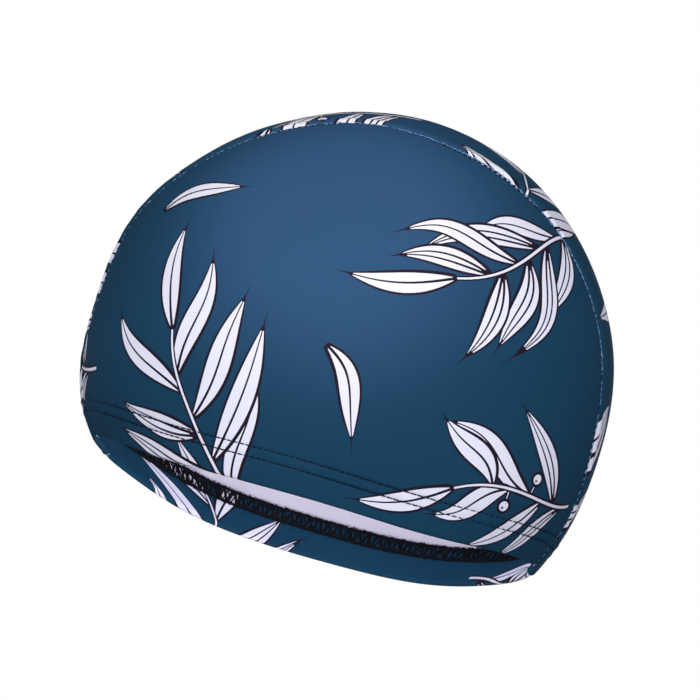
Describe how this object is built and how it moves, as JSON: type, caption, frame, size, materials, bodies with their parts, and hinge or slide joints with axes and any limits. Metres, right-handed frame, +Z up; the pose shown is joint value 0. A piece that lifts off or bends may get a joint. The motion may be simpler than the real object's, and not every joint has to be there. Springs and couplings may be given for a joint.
{
  "type": "swim cap",
  "caption": "Close-fitting swim cap of printed stretch cloth in sewn panels, with a turned-in hem and a thread-bound edge, in the form a head gives it.",
  "frame": {"origin": "middle of the opening that the head goes into, level with the front and back ends of the rim", "axes": "+Z up as worn, +Y to the back of the head, +X to the wearer's left; the rim's front end is raised 16.5 degrees"},
  "size_m": [0.16, 0.1997, 0.1729],
  "materials": {
    "printed_cloth": "matt stretch knit, printed outside and white inside",
    "cloth_inside": "matt unprinted knit, the cloth's inner face",
    "edge_thread": "matt fluffy thread, closely laid",
    "stitch_thread": "matt sewing thread"
  },
  "bodies": {
    "root": {"side_panel_left": "printed_cloth", "side_panel_right": "printed_cloth", "centre_panel": "printed_cloth", "edge_band": "edge_thread"}
  },
  "joints": []
}
